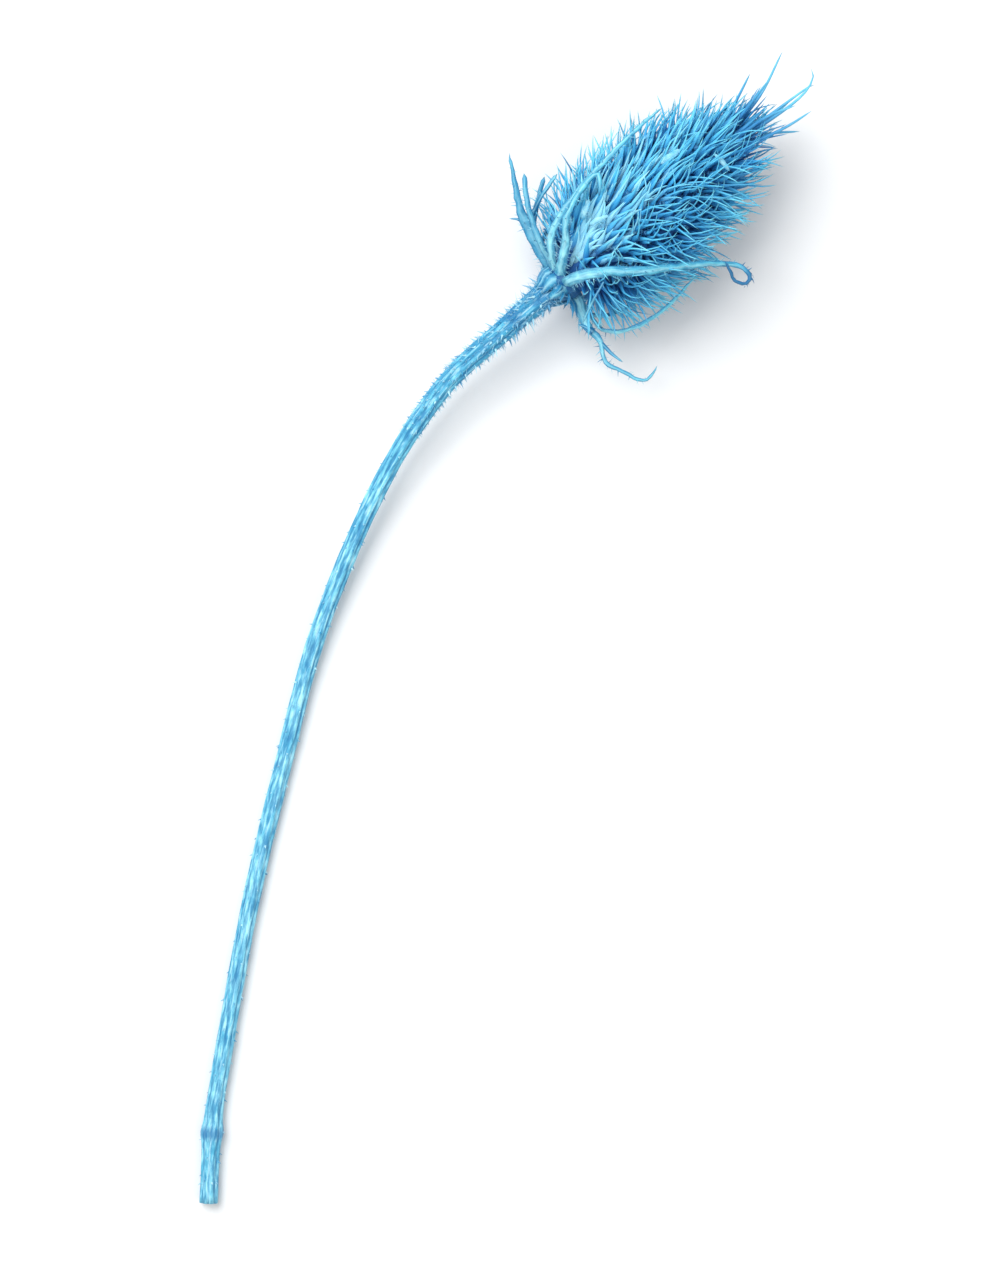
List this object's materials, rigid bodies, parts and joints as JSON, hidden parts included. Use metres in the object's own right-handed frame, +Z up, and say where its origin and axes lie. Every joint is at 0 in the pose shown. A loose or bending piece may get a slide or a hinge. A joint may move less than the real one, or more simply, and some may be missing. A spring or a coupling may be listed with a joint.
{
  "type": "dried teasel head",
  "caption": "Dried, dyed teasel head: an egg-shaped head of stiff spines over a ring of curved bracts, on its ribbed, prickly cut stem, lying on a surface.",
  "frame": {"origin": "centre of the bounding box in plan, on the surface that the cut head lies on", "axes": "+Y along the longest extent, from the cut end of the stem towards the head; +Z up, away from the surface; +X to the side that the head points to"},
  "size_m": [0.1472, 0.2762, 0.0403],
  "materials": {
    "dyed_stem": "satin",
    "dyed_bracts": "satin",
    "dyed_scales": "satin"
  },
  "bodies": {
    "root": {"stem": "dyed_stem", "involucre": "dyed_bracts", "head": "dyed_scales"}
  },
  "joints": []
}
